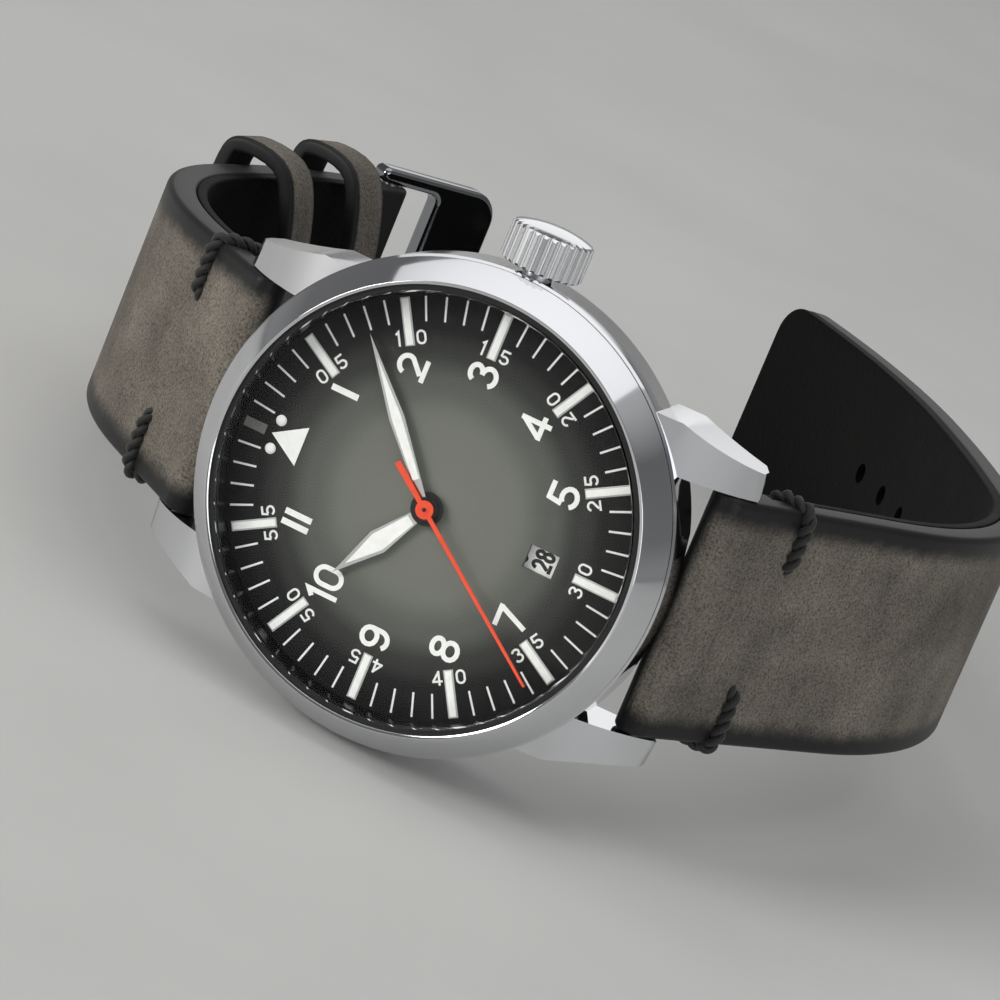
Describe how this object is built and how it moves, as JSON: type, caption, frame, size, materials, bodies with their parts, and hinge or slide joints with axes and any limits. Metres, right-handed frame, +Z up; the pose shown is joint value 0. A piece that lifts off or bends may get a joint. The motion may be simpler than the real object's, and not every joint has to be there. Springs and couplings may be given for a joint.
{
  "type": "pilot watch",
  "caption": "Round wristwatch with a plain numeral dial, fluted crown, polished lugs and a two-piece suede strap with keepers and a pin buckle.",
  "frame": {"origin": "centre of the case back's outer face", "axes": "+Z up, the watch lying on its nine o'clock side with the crown on top; the dial faces -Y, leant back by a few degrees; six o'clock points along +X"},
  "size_m": [0.081, 0.1177, 0.0441],
  "materials": {
    "polished_steel": "polished stainless steel",
    "satin_steel": "satin stainless steel",
    "movement_steel": "grained movement steel",
    "movement_brass": "gilt brass wheels",
    "bridge_nickel": "nickel-plated bridges",
    "clear_crystal": "clear sapphire",
    "ruby": "synthetic ruby",
    "dial_paint": "grey dial paint, darker towards the edge",
    "lume": "white luminous paint",
    "seconds_paint": "orange-red paint",
    "date_print": "white date disc",
    "suede": "grey suede",
    "dark_lining": "smooth black lining",
    "dark_cord": "waxed twisted cord",
    "black_rubber": "black rubber",
    "grey_plastic": "moulded holder ring"
  },
  "bodies": {
    "case": {"case_middle": "polished_steel", "bezel": "polished_steel", "crystal": "clear_crystal", "crystal_gasket": "grey_plastic", "rehaut_ring": "satin_steel", "case_back_ring": "polished_steel", "case_back_crystal": "clear_crystal", "case_back_gasket": "black_rubber", "crown_tube": "polished_steel", "movement_holder": "grey_plastic", "main_plate": "bridge_nickel", "dial": "dial_paint", "dial_markers": "lume", "balance_cock": "bridge_nickel", "train_bridge": "bridge_nickel", "jewels": "ruby", "mainspring": "movement_steel", "automatic_bridge": "bridge_nickel", "rotor_bearing": "movement_steel", "rotor_screw": "polished_steel", "lug_spring_bars": "satin_steel"},
    "rotor_body": {"rotor": "bridge_nickel"},
    "crown_slide": {"setting_lever": "movement_steel"},
    "crown_body": {"crown": "polished_steel", "crown_gasket": "black_rubber", "winding_stem": "movement_steel"},
    "winding_pinion_body": {"winding_pinion": "movement_steel"},
    "clutch_slide": {"clutch_yoke": "movement_steel"},
    "clutch_body": {"sliding_clutch": "movement_steel"},
    "crown_wheel_body": {"crown_wheel": "movement_steel"},
    "ratchet_body": {"ratchet_wheel": "movement_steel", "barrel_arbor": "movement_steel"},
    "minute_body": {"minute_hand": "polished_steel", "minute_hand_lume": "lume", "cannon_pinion": "movement_steel", "centre_wheel": "movement_brass"},
    "hour_body": {"hour_hand": "polished_steel", "hour_hand_lume": "lume", "hour_wheel": "movement_brass"},
    "minute_wheel_body": {"minute_wheel": "movement_brass"},
    "third_body": {"third_wheel": "movement_brass"},
    "seconds_body": {"seconds_hand": "seconds_paint", "fourth_wheel": "movement_brass"},
    "escape_body": {"escape_wheel": "movement_steel"},
    "barrel_body": {"barrel": "movement_brass"},
    "pallet_body": {"pallet_fork": "movement_steel"},
    "balance_body": {"balance_wheel": "movement_brass", "hairspring": "movement_steel"},
    "date_body": {"date_disc": "date_print"},
    "long_strap_body": {"long_strap": "suede", "long_strap_lining": "dark_lining", "long_strap_stitches": "dark_cord"},
    "short_strap_body": {"short_strap": "suede", "short_strap_lining": "dark_lining", "short_strap_stitches": "dark_cord", "fixed_keeper": "suede"},
    "free_keeper_body": {"free_keeper": "suede"},
    "buckle_body": {"buckle_frame": "polished_steel", "buckle_spring_bar": "satin_steel"},
    "tongue_body": {"buckle_tongue": "polished_steel"}
  },
  "joints": [
    {"name": "rotor_spin", "type": "hinge", "parent": "case", "child": "rotor_body", "pos_m": [0, -0.00239, 0.00024], "axis": [0, -0.995, 0.0995], "continuous": true},
    {"name": "crown_pull", "type": "slide", "parent": "case", "child": "crown_slide", "axis": [-0.0377, 0.0995, 0.9943], "range_m": [0, 0.001]},
    {"name": "crown_turn", "type": "hinge", "parent": "crown_slide", "child": "crown_body", "pos_m": [0, -0.00597, 0.0006], "axis": [-0.0377, 0.0995, 0.9943], "continuous": true},
    {"name": "winding_pinion_turn", "type": "hinge", "parent": "case", "child": "winding_pinion_body", "pos_m": [0, -0.00597, 0.0006], "axis": [-0.0377, 0.0995, 0.9943], "continuous": true},
    {"name": "clutch_shift", "type": "slide", "parent": "case", "child": "clutch_slide", "axis": [-0.0377, 0.0995, 0.9943], "range_m": [-0.0008, 0]},
    {"name": "clutch_turn", "type": "hinge", "parent": "clutch_slide", "child": "clutch_body", "pos_m": [0, -0.00597, 0.0006], "axis": [-0.0377, 0.0995, 0.9943], "continuous": true},
    {"name": "crown_wheel_turn", "type": "hinge", "parent": "case", "child": "crown_wheel_body", "pos_m": [-0.0003, -0.00325, 0.00824], "axis": [0, -0.995, 0.0995], "continuous": true},
    {"name": "ratchet_turn", "type": "hinge", "parent": "case", "child": "ratchet_body", "pos_m": [-0.00552, -0.00374, 0.0033], "axis": [0, -0.995, 0.0995], "continuous": true},
    {"name": "minute_turn", "type": "hinge", "parent": "case", "child": "minute_body", "pos_m": [0, -0.00954, 0.00095], "axis": [0, -0.995, 0.0995], "continuous": true},
    {"name": "hour_turn", "type": "hinge", "parent": "case", "child": "hour_body", "pos_m": [0, -0.00917, 0.00092], "axis": [0, -0.995, 0.0995], "continuous": true},
    {"name": "minute_wheel_turn", "type": "hinge", "parent": "case", "child": "minute_wheel_body", "pos_m": [-0.0011, -0.00759, 0.00291], "axis": [0, -0.995, 0.0995], "continuous": true},
    {"name": "third_turn", "type": "hinge", "parent": "case", "child": "third_body", "pos_m": [0.00204, -0.00666, -0.00436], "axis": [0, -0.995, 0.0995], "continuous": true},
    {"name": "seconds_turn", "type": "hinge", "parent": "case", "child": "seconds_body", "pos_m": [0, -0.00994, 0.00099], "axis": [0, -0.995, 0.0995], "continuous": true},
    {"name": "escape_turn", "type": "hinge", "parent": "case", "child": "escape_body", "pos_m": [0.00071, -0.00496, 0.00571], "axis": [0, -0.995, 0.0995], "continuous": true},
    {"name": "barrel_turn", "type": "hinge", "parent": "case", "child": "barrel_body", "pos_m": [-0.00552, -0.0054, 0.00347], "axis": [0, -0.995, 0.0995], "continuous": true},
    {"name": "pallet_swing", "type": "hinge", "parent": "case", "child": "pallet_body", "pos_m": [0.00314, -0.00505, 0.00477], "axis": [0, -0.995, 0.0995], "range_deg": [-6, 6]},
    {"name": "balance_swing", "type": "hinge", "parent": "case", "child": "balance_body", "pos_m": [0.00685, -0.00465, 0.00327], "axis": [0, -0.995, 0.0995], "range_deg": [-270, 270], "stiffness_Nm_per_rad": 0.0000006},
    {"name": "date_turn", "type": "hinge", "parent": "case", "child": "date_body", "pos_m": [0, -0.00798, 0.0008], "axis": [0, -0.995, 0.0995], "continuous": true},
    {"name": "long_strap_swing", "type": "hinge", "parent": "case", "child": "long_strap_body", "pos_m": [0.02099, -0.0039, 0.00119], "axis": [-0.0377, 0.0995, 0.9943], "range_deg": [-40, 12]},
    {"name": "short_strap_swing", "type": "hinge", "parent": "case", "child": "short_strap_body", "pos_m": [-0.02099, -0.00406, -0.00039], "axis": [-0.0377, 0.0995, 0.9943], "range_deg": [-12, 35]},
    {"name": "keeper_slide", "type": "slide", "parent": "short_strap_body", "child": "free_keeper_body", "axis": [0.209, 0.9738, -0.0895], "range_m": [-0.006, 0.003]},
    {"name": "buckle_swing", "type": "hinge", "parent": "short_strap_body", "child": "buckle_body", "pos_m": [-0.03445, 0.06261, -0.00757], "axis": [-0.0377, 0.0995, 0.9943], "range_deg": [-35, 35]},
    {"name": "tongue_swing", "type": "hinge", "parent": "buckle_body", "child": "tongue_body", "pos_m": [-0.03445, 0.06261, -0.00757], "axis": [-0.0377, 0.0995, 0.9943], "range_deg": [0, 110]}
  ],
  "couplings": [
    {"joint": "hour_turn", "follows": "minute_turn", "ratio": 0.083333},
    {"joint": "minute_wheel_turn", "follows": "minute_turn", "ratio": -0.33333},
    {"joint": "third_turn", "follows": "minute_turn", "ratio": -8},
    {"joint": "seconds_turn", "follows": "minute_turn", "ratio": 60},
    {"joint": "escape_turn", "follows": "minute_turn", "ratio": -720},
    {"joint": "barrel_turn", "follows": "minute_turn", "ratio": -0.14286},
    {"joint": "winding_pinion_turn", "follows": "crown_turn", "ratio": 1},
    {"joint": "clutch_turn", "follows": "crown_turn", "ratio": 1},
    {"joint": "crown_wheel_turn", "follows": "crown_turn", "ratio": 0.48485},
    {"joint": "ratchet_turn", "follows": "crown_turn", "ratio": -0.34043},
    {"joint": "clutch_shift", "follows": "crown_pull", "ratio": -0.8}
  ]
}
